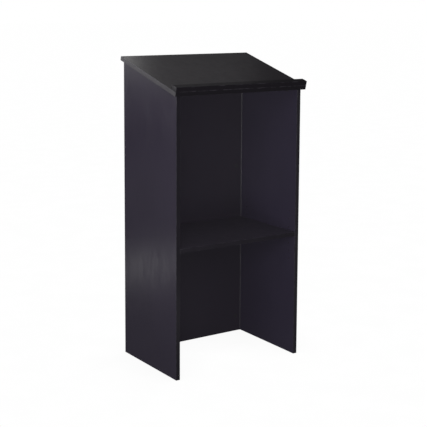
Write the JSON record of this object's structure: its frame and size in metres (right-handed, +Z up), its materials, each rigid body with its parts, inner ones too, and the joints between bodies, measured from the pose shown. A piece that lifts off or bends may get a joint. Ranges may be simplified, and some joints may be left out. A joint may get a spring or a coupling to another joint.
{
  "type": "presentation lectern",
  "caption": "Stand-up lectern of black laminated boards: side panels with sloping tops, full-height front panel, sloped reading top with a book ledge, open back and a shelf.",
  "frame": {"origin": "on the floor, at the centre of the overall width and depth", "axes": "+X the speaker's right, +Y towards the audience, +Z up"},
  "size_m": [0.584, 0.4059, 1.1682],
  "materials": {
    "black_laminate_board": "satin black melamine on chipboard, fine pebble grain",
    "black_edge_band": "satin black edge band with a rounded outer corner",
    "zinc_plated_steel": "bright zinc plate",
    "zinc_casting": "tumbled die-cast zinc",
    "beech": "fluted raw beech",
    "black_cap_plastic": "moulded black plastic"
  },
  "bodies": {
    "carcass": {"left_side_panel": "black_laminate_board", "right_side_panel": "black_laminate_board", "front_panel": "black_laminate_board", "reading_top": "black_laminate_board", "book_ledge": "black_laminate_board", "left_panel_rear_edge_band": "black_edge_band", "left_panel_front_edge_band": "black_edge_band", "right_panel_rear_edge_band": "black_edge_band", "right_panel_front_edge_band": "black_edge_band", "front_panel_joint_strips": "black_edge_band", "reading_top_left_edge_band": "black_edge_band", "reading_top_right_edge_band": "black_edge_band", "reading_top_front_edge_band": "black_edge_band", "reading_top_rear_edge_band": "black_edge_band", "book_ledge_end_bands": "black_edge_band", "front_panel_cam_bolts": "zinc_plated_steel", "front_panel_cam_nuts": "zinc_casting", "front_panel_dowels": "beech", "reading_top_cam_bolts": "zinc_plated_steel", "reading_top_cam_nuts": "zinc_casting", "reading_top_dowels": "beech", "front_panel_cam_caps": "black_cap_plastic", "side_panel_cam_caps": "black_cap_plastic", "book_ledge_screws": "zinc_plated_steel"},
    "shelf_pins": {"shelf_pins": "zinc_plated_steel"},
    "shelf": {"shelf": "black_laminate_board", "shelf_rear_edge_band": "black_edge_band"}
  },
  "joints": [
    {"name": "shelf_height", "type": "slide", "parent": "carcass", "child": "shelf_pins", "axis": [0, 0, 1], "range_m": [-0.096, 0.096]},
    {"name": "shelf_pull_out", "type": "slide", "parent": "shelf_pins", "child": "shelf", "axis": [0, -1, 0], "range_m": [0, 0.36]}
  ]
}
